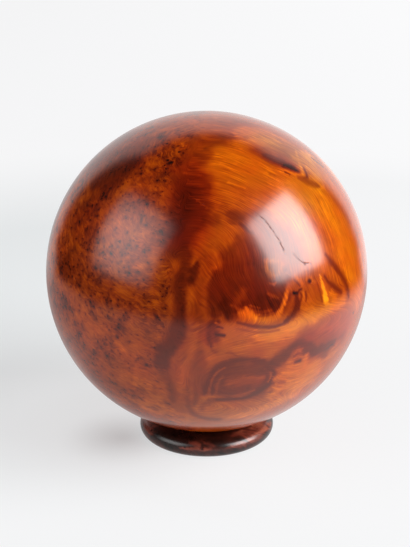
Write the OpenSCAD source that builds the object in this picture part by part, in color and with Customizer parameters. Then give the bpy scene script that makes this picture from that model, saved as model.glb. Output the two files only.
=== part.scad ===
// Decorative ball of solid burl wood, resting in a turned ring stand.
// Units are millimetres. +Z is up, and the origin is the middle of the stand's foot.

/* [Ball] */
// Diameter of the ball
ball_d = 150; // [120:1:180]
// How far the ball's lowest point lies below the crest of the ring
ball_sink = 2.6; // [2:0.1:4]

/* [Ring stand] */
// Outside diameter of the ring, at the widest part of its bead
ring_d = 65; // [54:1:80]
// Height of the ring's crest, where the ball's seat begins
ring_h = 9.3; // [8.8:0.1:14]
// Radius of the rounded bead round the outside
bead_r = 4.2; // [3:0.1:5]
// Share of the bead's radius that is cut off to make the flat foot
foot_cut = 0.07; // [0.03:0.01:0.2]
// Width of the level land between the seat and the shoulder
crest_land = 0.6; // [0.3:0.1:2]
// Diameter of the hole through the ring
hole_d = 29; // [20:1:34]
// Width of the bevel round the lower edge of the hole
hole_bevel = 1; // [0.5:0.1:2]
// Gap between the ball and the seat, which a film of wax fills
seat_gap = 0.05; // [0.03:0.01:0.3]

/* [Hidden] */
$fn = 180;
past = 1; // how far a cutting shape runs past what it cuts
shoulder_steps = 24; // straight steps in the shoulder's arc

ball_r = ball_d / 2;
ball_z = ring_h - ball_sink + ball_r;

// The seat is part of a sphere round the ball's centre.
seat_r = ball_r + seat_gap;
seat_edge_x = sqrt(seat_r * seat_r - pow(ball_z - ring_h, 2));

// The bead is a circle that the foot cuts flat.
bead_x = ring_d / 2 - bead_r;
bead_z = bead_r * (1 - foot_cut);

// The shoulder is an arc that starts level at the crest and runs smoothly into the bead. Where
// the bead's top stands higher than the crest, the arc is hollow and its radius is negative.
crest_x = seat_edge_x + crest_land;
shoulder_run = bead_x - crest_x;
shoulder_rise = ring_h - bead_z;
crest_over_bead = shoulder_rise - bead_r;
bend = crest_over_bead < 0 ? -1 : 1;
shoulder_r = (pow(shoulder_run, 2) + pow(shoulder_rise, 2) - pow(bead_r, 2))
    / (2 * bend * max(abs(crest_over_bead), 0.001));
shoulder_end = atan2(bend * (shoulder_r - shoulder_rise), bend * shoulder_run);

// Points along an arc round a centre, from one angle to another
function arc(centre, radius, from, to, steps) =
    [for (i = [0:steps]) let (a = from + (to - from) * i / steps)
        centre + radius * [cos(a), sin(a)]];

module ball() {
    color("chocolate")
        translate([0, 0, ball_z])
            sphere(ball_r);
}

// Half of the ring's section, before the hole and the seat are cut
module ring_outline() {
    translate([bead_x, bead_z])
        circle(bead_r);
    polygon(concat(
        [[0, 0], [bead_x, 0], [bead_x, bead_z]],
        arc([crest_x, ring_h - shoulder_r], shoulder_r, shoulder_end, 90, shoulder_steps),
        [[0, ring_h]]
    ));
}

module ring_section() {
    difference() {
        ring_outline();
        translate([0, -2 * bead_r])
            square([ring_d, 2 * bead_r]);
        translate([-past, -past])
            square([hole_d / 2 + past, ring_h + 2 * past]);
        translate([0, ball_z])
            circle(seat_r);
        polygon([
            [hole_d / 2 - past, -past],
            [hole_d / 2 + hole_bevel + past, -past],
            [hole_d / 2 - past, hole_bevel + past]
        ]);
    }
}

module ring_stand() {
    color("saddlebrown")
        rotate_extrude()
            ring_section();
}

ball();
ring_stand();
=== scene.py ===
"""A polished burl ball with its knots, eyes and cracks, resting in a dark turned ring."""

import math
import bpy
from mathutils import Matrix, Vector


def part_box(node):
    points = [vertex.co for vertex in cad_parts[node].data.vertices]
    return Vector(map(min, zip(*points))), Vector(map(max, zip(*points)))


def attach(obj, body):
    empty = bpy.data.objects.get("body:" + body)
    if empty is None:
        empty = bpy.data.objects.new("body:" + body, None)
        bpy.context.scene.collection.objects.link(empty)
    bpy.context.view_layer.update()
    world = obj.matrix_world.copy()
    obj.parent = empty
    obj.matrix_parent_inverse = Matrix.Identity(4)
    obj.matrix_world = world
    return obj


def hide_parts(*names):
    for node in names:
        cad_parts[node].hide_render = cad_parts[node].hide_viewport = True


bl_info = {
    "name": "Burl ball on a ring stand",
    "version": (1, 0, 0),
    "blender": (4, 5, 0),
    "location": "View3D > Sidebar > Burl Ball",
    "description": "Turns a polished burl ball and the dark ring that it rests in",
    "category": "Object",
}

from collections import namedtuple

import bmesh
import bpy
import numpy as np
from mathutils import Vector, noise

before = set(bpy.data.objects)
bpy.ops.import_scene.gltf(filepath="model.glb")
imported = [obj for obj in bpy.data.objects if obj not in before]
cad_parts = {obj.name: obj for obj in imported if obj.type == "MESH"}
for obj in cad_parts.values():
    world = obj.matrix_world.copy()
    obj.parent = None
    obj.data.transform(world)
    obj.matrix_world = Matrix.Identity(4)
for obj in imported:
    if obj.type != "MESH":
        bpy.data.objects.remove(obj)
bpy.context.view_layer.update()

BALL_LOW, BALL_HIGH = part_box("ball")
BALL_RADIUS = (BALL_HIGH.z - BALL_LOW.z) / 2
BALL_CENTRE = (BALL_HIGH + BALL_LOW) / 2
BALL_CENTRE.x = BALL_CENTRE.y = 0.0
RING_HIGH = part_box("ring_stand")[1]
RING_RADIUS = RING_HIGH.x
RING_HEIGHT = RING_HIGH.z
MM = 0.001


# --- Places on the ball ---
# A place is (turn, height) in degrees: turn 0 faces the front and grows to the right, and
# height 90 is the top of the ball.


def direction(turn, height):
    """The way from the ball's centre to a place on it, as a unit vector."""
    turn, height = math.radians(turn), math.radians(height)
    return Vector((
        math.cos(height) * math.sin(turn),
        -math.cos(height) * math.cos(turn),
        math.sin(height),
    ))


# A mark is one piece of the wood's figure. path holds its places, each with half its width there
# in degrees. tone is how light the wood is along it, from 0 for black-brown to 1 for pale orange.
# soft is how far its edge blends, lift how far it pushes the growth lines aside (in its own
# widths), burl how much of the figure is eyes there, and depth the hollow that it leaves, in
# millimetres.
Mark = namedtuple("Mark", "tone path soft lift burl depth", defaults=(0.9, 0.0, None, 0.0))

# The place that the growth lines run round, and the places that they run round on other parts of
# the ball, each with what is added to keep the lines in step and a path over the part.
GROWTH_PLACE = (-5, 7)
LOWER_FLOW = ((0, 65), -34, ((10, -14, 15), (36, -15, 18), (56, -14, 18)))
BURL_FLOW = (12, 58)

UPPER_FAN = (
    Mark(0.65, ((3.6, 62, 4.8), (5, 56, 5), (14, 56, 9), (26, 50, 9), (33, 42, 8)), 0.45, 0.0, 0),
    Mark(0.69, ((8, 55, 2.5), (15, 58, 4), (24, 59, 4), (29, 56, 3))),
    Mark(0.60, ((7, 50, 3), (10, 46, 2.6))),
    Mark(0.58, ((12, 44, 3), (20, 44, 4), (27, 42, 4))),
    # The dark streak over the fan, and the pale wood past it
    Mark(0.41, ((-9, 66.5, 2.4), (0, 66.6, 2.6), (9, 68, 3), (18, 69, 3), (27, 70.6, 1.6)), 0.7, 0.6, 0),
    Mark(0.67, ((26, 65.5, 3), (42, 65, 4), (60, 62.5, 4)), 0.7, 0.2, 0),
    Mark(0.45, ((33, 78, 4.4), (62, 77, 4)), 0.8, 0.3, 0),
    Mark(0.64, ((36, 71, 2), (50, 70.6, 2.6), (66, 68, 3)), 0.8, 0.0, 0),
    # Bundles of pale and dark fibre
    Mark(0.78, ((33, 51.6, 0.3), (36, 50.4, 0.5), (39, 48.8, 0.3)), 0.8, 0.3),
    Mark(0.44, ((34, 50.4, 0.3), (37.5, 48.8, 0.4), (41, 46.6, 0.3)), 0.8),
    Mark(0.76, ((10, 48.4, 0.3), (13, 47.8, 0.4), (18, 46, 0.3))),
)

RIGHT_SIDE = (
    Mark(0.71, ((40, 46, 6), (50, 38, 9), (57, 28, 10), (61, 16, 9), (64, 3, 7)), 0.6, 0.0, 0),
    Mark(0.78, ((59, 41, 3), (64, 44, 4), (70, 46, 4), (76, 51, 3)), 0.8, 0.0, 0),
    Mark(0.66, ((32, 34, 5), (39, 27, 6), (44, 17, 5)), 0.8, 0.0, 0),
    Mark(0.77, ((53, 34, 2), (57, 26, 2), (54, 17, 2)), 0.9, 0.2),
    Mark(0.56, ((64, 38, 1), (68, 31, 2.5), (70, 24, 2.2), (69, 15, 1)), 0.9, 0.4),
    Mark(0.66, ((64, 28, 1.2), (67, 21, 1.4), (66, 14, 1.5), (64, 9, 1.2)), 0.9, 0.2),
    Mark(0.60, ((72, 45, 5), (78, 30, 6), (80, 12, 6)), 0.8, 0.2),
    # The dark feather that runs down through it
    Mark(0.58, ((47, 14, 1.4), (50, 10.5, 2), (52.4, 6, 2), (53.6, 2, 1.4)), 0.8, 0.2),
    Mark(0.31, (
        (45.5, 19.5, 0.4), (47.5, 16.8, 0.9), (49.8, 13.8, 1.1), (52.4, 10.4, 1.1),
        (54.6, 7, 1.0), (55.8, 4.4, 0.8), (56.2, 1.6, 0.6),
    ), 0.9, 0.5),
    Mark(0.60, ((47.4, 14.2, 0.3), (49.8, 11.2, 0.5), (52, 8, 0.4))),
    Mark(0.32, (
        (43.4, 12.6, 0.4), (44.6, 10.6, 0.6), (46.6, 8.6, 0.9), (49, 6.8, 1.1), (51.4, 5, 0.8),
    ), 0.9, 0.4),
    # The bright flame
    Mark(0.54, ((36.8, 8.5, 0.9), (38.2, 6, 1.2), (38.8, 4, 1.0)), 0.8, 0.2),
    Mark(0.40, ((39.6, 10.8, 0.3), (40.6, 7.4, 0.5), (41.4, 4.4, 0.3)), 0.8),
    Mark(0.98, (
        (41.2, 13.6, 0.3), (41.9, 10.5, 0.6), (42.7, 7, 1.0), (43.2, 4.4, 1.2), (43.4, 2.8, 0.7),
    ), 0.5, 0.4),
    Mark(0.72, ((46, 6, 1.2), (47.6, 3.5, 1.4), (49, 1, 1.4)), 0.8, 0.2),
)

CAT_EYE = (
    Mark(0.50, ((36, 60.5, 3), (46, 58.5, 4.5), (56, 56, 4)), 0.8, 0.3),
    Mark(0.44, ((51, 55.8, 2), (57, 56, 2))),
    Mark(0.42, ((33, 61.4, 0.8), (36.5, 59.4, 1.6), (40, 57, 2.2)), 0.8, 0.5),
    Mark(0.26, ((38.5, 57.4, 1.2), (42, 55, 2), (46.5, 53, 2.1), (51, 51, 1.4)), 0.8, 0.8),
    Mark(0.04, ((45.6, 52.4, 0.6), (49.4, 51, 1.1), (52.6, 49, 0.9)), 0.9, 0.6),
    Mark(0.74, (
        (45, 50.2, 0.3), (48, 48.8, 0.4), (51.6, 47, 0.45), (54.4, 46.6, 0.5), (56.4, 48, 0.5),
        (58.2, 50.2, 0.5), (61, 52.2, 0.5), (65, 54.2, 0.5), (68.5, 55.6, 0.4),
    ), 0.9, 0.2),
    Mark(0.30, ((44, 49.6, 0.4), (46, 48.4, 0.3)), 0.8),
    Mark(0.26, ((53, 45.4, 0.4), (55.8, 45.2, 0.5), (57.8, 46.8, 0.5), (59.4, 49, 0.3))),
    Mark(0.46, ((50, 46.2, 0.8), (53.5, 44.4, 1.5), (57, 42.4, 1.5), (60, 41, 0.6)), 0.7, 0.2),
    Mark(0.58, ((60.5, 52.5, 1.6),), 0.7, 0.8),
    Mark(0.24, ((77, 50, 0.4), (78.5, 47.5, 0.6), (79.5, 45, 0.4)), 0.8, 0.3),
)

DARK_SHOULDER = (
    Mark(0.44, ((-6, 65, 3.4), (-6.6, 60, 4.4)), 0.5, 0.0, 0.35),
    Mark(0.36, ((-8.4, 57, 4.2), (-8.6, 51, 5.4)), 0.75, 0.0, 0),
    Mark(0.27, ((-8, 47, 5.8), (-7, 41, 6.4), (-6.4, 36, 6.8), (-8, 31, 5.6), (-10, 26, 3.6)), 0.5, 0.2, 0),
    Mark(0.31, ((-1.6, 47.6, 1.6), (1, 47, 0.8)), 0.8, 0.0, 0),
    Mark(0.19, ((-9.4, 43.4, 2.6), (-9.5, 38, 3), (-10.5, 32, 2.4))),
    Mark(0.43, ((-12, 52.4, 0.4), (-7, 51.8, 0.5), (-1, 51, 0.4))),
)

MIDDLE_GROUND = (
    Mark(0.55, ((10, 42, 3), (17, 39, 4), (22, 35, 4)), 0.7, 0.0, 0),
    Mark(0.34, ((22, 33, 4), (27, 28, 5), (31, 22, 4.6)), 0.8, 0.0, 0),
    Mark(0.43, ((9, 35, 3), (14, 33, 4), (17, 28, 4)), 0.7, 0.0, 0),
    Mark(
        0.52, ((4.6, 44, 2.2), (4.8, 40, 1.8), (5.4, 33, 2.4), (1.4, 28.6, 3.4), (-0.6, 24.6, 1.6)),
        0.6, 0.2, 0,
    ),
    Mark(0.57, ((7, 31, 1.6), (10, 32, 1.6), (4, 28.5, 1.6)), 0.8),
    Mark(0.37, ((3.4, 36.2, 1.6),), 0.8, 0.3),
    Mark(0.33, ((9, 37.4, 1.0), (11.5, 36.6, 1.8), (14, 36, 1.2)), 0.8, 0.3),
    Mark(0.30, ((12.6, 34, 0.4), (14.4, 32.6, 0.7), (15.8, 31.2, 0.5), (17.3, 30.2, 0.3)), 0.8, 0.4),
    Mark(0.58, ((8.5, 33.4, 0.3), (10.8, 33.2, 0.45), (12.4, 32.6, 0.5), (13.4, 31.4, 0.4)), 0.8),
    Mark(0.40, ((11.5, 29.6, 1.2),), 0.7, 0.4),
    Mark(0.57, ((1, 28, 0.5), (5, 29, 0.6), (9, 28, 0.5))),
)

HEART = (
    Mark(0.35, ((7, 24, 3), (13, 24.5, 5), (19, 22.6, 6)), 0.5, 0.0, 0),
    Mark(0.28, ((9.4, 15, 7.2), (15, 13.5, 9.5), (19.5, 11, 8.5)), 0.25, 0.7, 0),
    Mark(0.25, ((7, 9, 5), (14, 9, 6)), 0.35, 0.0, 0),
    Mark(0.26, ((2.6, 18, 1.2), (2.2, 13, 1.6), (2, 8, 1.8), (2.4, 4.6, 1.4)), 0.8, 0.0, 0),
    Mark(0.17, ((5.6, 9.5, 1.2), (6.2, 6.5, 1.8), (6.8, 3.8, 1.5)), 0.9, 0.2),
    Mark(0.19, ((17, 9.5, 1.2), (21, 8.2, 2), (24, 7.2, 1.4)), 0.8, 0.2),
    Mark(0.30, ((14.8, 23.4, 0.4), (15.5, 20, 0.5), (16, 17.4, 0.3))),
    Mark(0.38, ((12, 12, 1.4), (10, 9, 1.2)), 1.0),
    # The heart-shaped knot on its right
    Mark(0.50, (
        (20.4, 21, 0.8), (20.8, 18.6, 1.0), (22, 16.6, 1.0), (24, 16.2, 0.8),
        (25.6, 18.2, 0.7), (26, 20, 0.6), (24.4, 20.8, 0.6), (22.4, 20.8, 0.6), (20.4, 21.2, 0.8),
    ), 0.9, 0.2),
    Mark(0.38, ((23.4, 18.8, 0.9),), 0.7, 0.3),
    Mark(0.32, ((27.6, 17.6, 1), (28.2, 14.6, 1.2)), 0.8),
    Mark(0.50, ((21.2, 14, 0.3), (22.6, 13.4, 0.4), (23.4, 14, 0.3))),
    # The orange flame round its foot
    Mark(0.42, ((8, 8, 0.5), (9.6, 7, 0.6), (11.4, 6, 0.5)), 1.0),
    Mark(
        0.68, ((10.6, 5.2, 0.9), (13, 4.4, 1.9), (16, 3.2, 1.7), (20, 2.2, 1.3), (23.8, 2.8, 1.1)),
        0.8, 0.3,
    ),
    Mark(0.80, ((12.4, 7, 0.5), (13, 5.8, 1.0), (14.2, 4.4, 1.0), (15.6, 3.4, 0.6)), 0.8, 0.2),
    Mark(0.48, ((13.6, 7.6, 0.3), (15.4, 7, 0.4), (17.2, 6.4, 0.3)), 1.0),
    Mark(0.38, ((16, 5.4, 0.6), (18, 5, 0.5), (21, 5.2, 0.5))),
    Mark(0.44, ((17, 3.6, 0.3), (19.6, 3.8, 0.35), (22, 4.2, 0.3))),
    Mark(0.70, ((22.8, 3.4, 0.6), (24.4, 4.4, 0.8), (25.4, 6, 0.7)), 0.8),
    Mark(0.76, ((25.4, 6.2, 0.6), (26.4, 8, 0.8), (27, 10, 0.7), (27.6, 11.8, 0.4)), 0.8, 0.3),
    Mark(0.34, ((27.6, 7.6, 0.3), (28.2, 9.4, 0.4))),
    Mark(0.40, ((20.4, 10.8, 0.4), (22, 9.8, 0.5), (23.8, 8.8, 0.4))),
)

# The broken, speckled wood between the heart and the right side
SPECKLE = (
    Mark(0.55, ((29, 12.5, 1.6), (33, 13, 2.4), (38, 13.5, 2)), 0.7, 0.3, 0),
    Mark(0.60, ((33, 8, 2), (34.5, 4, 2.4), (36, 1.5, 2)), 0.8, 0.3, 0.25),
    Mark(0.30, ((32, 9.4, 0.3), (32.6, 7.8, 0.5), (32, 6, 0.3)), 0.8, 0.4),
    Mark(0.32, ((34.2, 9.2, 0.3), (34.6, 7.6, 0.4), (34.2, 6, 0.3)), 0.8, 0.4),
    Mark(0.32, ((30.8, 7.2, 0.4), (31.4, 5.6, 0.5), (31.4, 4, 0.3)), 0.8, 0.4),
    Mark(0.64, ((33.3, 9, 0.3), (33.4, 6.6, 0.4))),
    Mark(0.70, ((32.2, 4.4, 0.4), (33.8, 3.4, 0.5), (36.4, 3.6, 0.5), (37.8, 2.6, 0.4)), 0.9, 0.3),
    Mark(0.05, ((29.6, 9.6, 0.6), (30.8, 9.2, 0.8)), 0.8, 1.0),
    Mark(0.20, ((31.6, 10, 0.5), (32.8, 10.4, 0.4)), 0.8, 0.3),
    Mark(0.66, ((31, 14.6, 0.4), (32.6, 13.4, 0.5), (33.6, 12, 0.4)), 0.8, 0.3),
    Mark(0.32, ((30.2, 13.8, 0.3), (31.4, 12.6, 0.4), (32.3, 11.4, 0.3)), 0.8, 0.2),
    Mark(0.66, ((35, 13, 0.4), (36.4, 13.8, 0.4), (37.8, 12.8, 0.4), (37, 11.2, 0.3)), 0.8, 0.3),
    Mark(0.13, ((36.4, 12.3, 0.8),), 0.6, 1.0),
)

RIVER = (
    Mark(0.44, (
        (-1, 23, 2.1), (-1.2, 17, 1.5), (-2.2, 11, 1.4), (-2.6, 5, 2.1), (-3.2, 0, 2.2),
        (-4, -5, 2.6), (-6, -10, 3.6), (-8, -16, 3.2), (-9, -22, 2.6), (-9.6, -28, 2), (-10, -36, 2),
    ), 0.55, 0.5, 0),
    Mark(0.52, ((-3.2, 2, 0.9), (-5, -8, 1.2), (-8, -15, 1.4), (-9.4, -24, 1.2))),
    Mark(0.37, ((-2.2, -8.6, 1.2), (-2.6, -13, 1.8), (-2.6, -19, 1.8), (-3, -25, 1.8)), 0.8, 0.0, 0),
    Mark(0.25, (
        (-6.4, 24, 1.7), (-7.8, 17, 2.3), (-8.6, 10, 2.4), (-8.8, 4, 2.3), (-10, -2, 2.8),
        (-12.4, -7, 2.6), (-14, -12, 2.4), (-14.4, -16, 1.6),
    ), 0.55, 0.4, 0.25),
    Mark(0.35, ((-13.8, -18, 1.8), (-13, -24, 1.4), (-12.2, -30, 1)), 0.8, 0.3, 0.25),
    Mark(0.19, ((-2.9, 22, 0.6), (-3.9, 19.5, 1.2), (-5, 16, 1.5)), 0.8, 0.4, 0),
)

LOWER_RIGHT = (
    # The pale band under the heart
    Mark(0.58, ((7, -4, 4.5), (16, -5, 5.5), (24, -5, 4)), 0.6, 0.0, 0),
    Mark(0.72, ((17, -2.6, 1.8), (26, -2.4, 2.8), (33, -1.4, 2.6), (42, 0.8, 2), (52, 1.6, 1.8)), 0.7),
    Mark(0.50, ((4, -8.6, 2.6), (10, -9.2, 2.4), (18, -9.2, 1.6)), 0.8, 0.0, 0),
    # The dark lines under the flame
    Mark(0.30, (
        (9.8, 2.2, 0.4), (13, 1.2, 0.5), (16, 0.3, 0.55), (20, -0.4, 0.55), (24, -0.4, 0.6),
        (27, 0.6, 0.7),
    ), 0.8, 0.2),
    Mark(0.46, ((10, 0.2, 0.3), (14, -1.2, 0.4), (19, -2, 0.4), (24, -1.9, 0.4))),
    Mark(0.25, (
        (26, 0.8, 0.6), (28.4, 2, 1.1), (30.2, 4.2, 1.4), (31, 6.4, 1.2), (30.6, 8.4, 0.6),
    ), 0.8, 0.3),
    # The small C-shaped knot on its left
    Mark(0.26, (
        (3.6, 2.6, 0.8), (1.8, 1.8, 1.4), (0.9, 0.2, 1.5), (0.7, -2, 1.3), (0.8, -4, 1.0),
        (1.4, -5.8, 0.5),
    ), 0.9, 0.8, 0),
    Mark(0.33, ((2.8, -0.6, 1.4), (3, -3.6, 1.3)), 0.9, 0.5),
    Mark(0.52, ((2.8, 2.5, 0.3), (4.2, 1.7, 0.3), (5.6, 1.6, 0.3))),
    Mark(0.20, ((3.4, 1, 0.4), (5, 0.7, 0.4)), 0.9, 0.3),
    Mark(0.16, ((2.8, -1.4, 0.4), (4.2, -1.7, 0.5), (5.6, -2, 0.5)), 0.9, 0.4),
    Mark(0.42, ((1.6, -7, 0.6), (3.2, -8, 0.7)), 0.9, 0.2),
    Mark(0.38, ((6.4, -8.4, 0.3), (8, -8.4, 0.4), (9.6, -9.4, 0.3))),
    # The oval knot
    Mark(0.31, ((3.6, -21, 5), (10, -20, 7.4), (17, -20, 7), (20, -20.5, 5)), 0.25, 1.1, 0),
    Mark(0.40, ((16, -29, 1.6), (21, -29, 2), (24.4, -26.6, 1.2)), 0.8, 0.0, 0),
    Mark(0.25, (
        (-1, -25.6, 0.8), (0, -20, 1.0), (2, -15.4, 1.3), (5.4, -12.6, 1.5), (10, -11.4, 1.4),
        (15, -11.6, 1.1), (19, -12.6, 0.9),
    ), 0.9, 0.3),
    Mark(0.42, ((0.8, -25, 0.4), (1.6, -20, 0.4), (3.4, -16, 0.4), (6, -14, 0.3))),
    Mark(0.28, ((2, -26, 0.4), (2.6, -20, 0.5), (4.4, -16.4, 0.5), (7.4, -14.6, 0.5), (12, -13.8, 0.4))),
    Mark(0.40, ((3.4, -25, 0.4), (3.9, -20.4, 0.4), (5.6, -17.4, 0.4))),
    Mark(0.29, ((5, -24.6, 0.4), (5.2, -21, 0.5), (6.6, -18.4, 0.4))),
    Mark(0.42, ((9, -20.6, 1.6), (15, -20.4, 2), (19, -20, 1.4))),
    Mark(0.25, (
        (20.4, -15.2, 0.5), (22.6, -16.6, 0.6), (24, -19, 0.8), (23.8, -21.6, 1.0), (22, -24.4, 1.3),
        (18, -27.2, 1.2), (13, -28.8, 1.1), (6, -28.6, 1.0), (1, -29, 0.8),
    ), 0.9, 0.3),
    Mark(0.48, ((20, -15.8, 0.3), (22, -17, 0.35), (23, -19.4, 0.35), (22.4, -22, 0.3))),
    Mark(0.28, ((18.6, -16.6, 0.3), (20.8, -17.8, 0.4), (21.6, -20, 0.4), (20.4, -22.6, 0.4))),
    Mark(0.47, ((12.6, -18.6, 0.4), (16, -19, 0.5), (19.6, -19.6, 0.4))),
    Mark(0.46, ((10, -26.8, 0.3), (14, -26.2, 0.4), (17.4, -25.2, 0.3))),
    # The dark bird over its right end
    Mark(0.40, ((34, -6.4, 3), (41, -7.6, 3.4), (48, -9.5, 3.4), (55, -12, 3)), 0.7, 0.0, 0),
    Mark(0.27, (
        (21, -15.6, 1.6), (23.4, -13.6, 2.4), (27, -11.8, 3.2), (31, -8.8, 2), (35, -9, 1.6),
        (39, -10.6, 1.2),
    ), 0.6, 0.5),
    Mark(0.26, ((36.4, -12.4, 1.6), (41.4, -13.4, 2.5), (45.4, -13.8, 2.3), (49.6, -13.4, 1.4)), 0.7, 0.5),
    Mark(0.36, ((43.5, -16.6, 1.2), (47, -17.4, 1.2)), 0.9, 0.2),
    # The small knot under it, in pale wood
    Mark(0.64, ((29.4, -14.8, 1.0), (31.4, -17.4, 1.8), (35.4, -17, 1.6), (36.4, -14, 0.9)), 0.7),
    Mark(0.44, ((32.8, -14.4, 1.6),), 0.8, 0.8),
    Mark(0.32, ((30.6, -13, 0.3), (32, -12.3, 0.4), (33.6, -12.5, 0.4), (35, -13.4, 0.3)), 0.9, 0.2),
    Mark(0.60, ((31, -14, 0.3), (32.6, -13.5, 0.35), (34.4, -14.2, 0.3))),
    Mark(0.20, ((32.2, -15.8, 0.7), (33.8, -15.6, 0.8)), 0.8, 0.6),
    # Pale wood along the lower right
    Mark(0.67, ((25, -20.6, 1.4), (31, -21, 3), (37, -20.4, 3), (42, -19.8, 2.2)), 0.7, 0.0, 0),
    Mark(0.62, ((46, -20, 0.9), (50, -19, 1.0), (54, -18, 0.7)), 0.8, 0.2),
    Mark(0.68, ((27, -28, 3), (34, -27, 4), (44, -25, 4)), 0.8, 0.0, 0),
    Mark(0.46, ((27.4, -23.4, 0.8), (29.4, -23.8, 0.7)), 0.9, 0.3),
    Mark(0.69, ((12, -41, 1.6), (20, -39.6, 2.6), (28, -36, 3), (38, -33, 3)), 0.8, 0.0, 0),
    # Red-brown wood at the right
    Mark(0.48, ((41, -4.4, 2.4), (48, -5.4, 3.2), (57, -7, 4)), 0.8, 0.0, 0),
    Mark(0.20, ((61, -5.4, 0.5),), 0.8, 0.6),
    # Tails that run down to the ring
    Mark(0.36, ((-3, -22, 0.8), (-3.8, -27, 1.0), (-5, -32, 0.8)), 0.9, 0.3),
    Mark(
        0.35, (
            (-6.4, -19, 0.7), (-7, -25, 0.9), (-7.4, -31, 1.2), (-6, -37, 1.2), (-2, -40.4, 1.2),
            (5, -42, 1.2),
        ),
        0.9, 0.3,
    ),
    Mark(0.40, ((2, -29.6, 1.2), (-1.4, -31.6, 1), (-2, -35, 0.8)), 0.9, 0.2),
    Mark(0.56, ((-10, -27, 0.4), (-9.4, -31, 0.5), (-9, -36, 0.5))),
)

EYED_SIDE = (
    Mark(
        0.56, ((-100, 76, 7), (-66, 77, 7), (-40, 80, 6), (-20, 79, 6), (-8, 75, 4), (20, 82, 8)),
        0.7, 0.0, 0.5,
    ),
    Mark(0.34, ((-84, 58, 6), (-73, 49, 6), (-63, 53, 7), (-52, 60, 4)), 0.7, 0.3, 0.5),
    Mark(0.56, ((-75, 36, 3), (-76, 26, 5), (-77, 12, 6)), 0.8),
    Mark(0.24, ((-61, 41, 3), (-55, 46.4, 4.6), (-46, 53, 3.4)), 0.8, 0.3, 0.4),
    Mark(0.25, ((-52, 42, 3), (-47, 46.5, 2.4))),
    Mark(0.54, ((-41, 42, 2), (-39, 46, 2.4), (-34, 51, 3.2), (-33, 56, 2.6)), 0.8),
    Mark(0.38, ((-29, 64, 2.4), (-25, 60, 3.2), (-18, 57, 3.2)), 0.7, 0.2, 2.0),
    Mark(0.44, ((-15, 65, 2), (-9, 63, 2.4)), 0.7, 0.2, 1.8),
    Mark(0.38, ((-20, 52, 2.4), (-15, 50, 2)), 0.9, 0.2, 1.4),
    Mark(0.31, ((-57.6, 37, 2.4), (-57, 28, 3), (-54, 19, 3), (-57, 11, 4)), 0.8),
    Mark(0.24, ((-59, 9, 2.2),), 0.8, 0.4),
    Mark(0.50, ((-20, 43, 4), (-24, 37, 3), (-34, 36, 2.6), (-28, 30, 3))),
    Mark(0.56, ((-45, 21, 3), (-36, 21, 4), (-26, 20.4, 3))),
    Mark(0.45, ((-40, 11, 4), (-30, 6, 5), (-21, 9, 4))),
    Mark(0.35, ((-14.6, 37, 2), (-14.2, 28, 2.6), (-13.6, 20, 2.2), (-14.4, 14, 2.2)), 0.8, 0.0, 1.3),
    Mark(0.46, ((-47, -7, 4), (-38, -5, 5), (-28, -8, 4))),
    Mark(0.36, ((-61, -3, 3.4), (-57, -9, 3.4))),
    Mark(0.37, ((-56, -12, 3), (-51, -20, 5), (-47, -28, 5))),
    Mark(0.41, ((-16, 2, 3), (-20, -3, 3))),
    Mark(0.47, ((-24, -26, 5), (-16, -29, 4))),
    Mark(0.58, ((-27, -36, 4), (-18, -37, 5), (-10, -42, 5)), 0.8),
)

# Cracks and scratches, and a painted shadow beside one crack
CHECKS_AND_SHADE = (
    Mark(0.20, (
        (19.6, 36.8, 0.05), (21.2, 36, 0.08), (23.2, 34, 0.09), (24.9, 31, 0.1), (26.5, 28, 0.09),
        (27.8, 24.4, 0.08), (28.4, 22.4, 0.05),
    ), 0.6, 0.0, None, 0.1),
    # Painted shade: a soft dark band beside the second crack, laid as its shadow
    Mark(0.34, ((31, 22.6, 0.5), (33, 20.4, 0.8), (35, 19, 0.5))),
    Mark(0.24, (
        (31.4, 22.4, 0.06), (33, 20.2, 0.1), (35, 18.6, 0.1), (38.4, 17.5, 0.06),
    ), 0.6, 0.0, None, 0.08),
    Mark(0.46, ((-6, 43.2, 0.12), (-4.4, 42.4, 0.14), (-2, 40.8, 0.14), (0.6, 39.4, 0.12)), 0.8),
    Mark(0.50, ((27, 17, 0.12), (28.4, 15.8, 0.14), (30, 14.4, 0.12)), 0.8),
)

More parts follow.
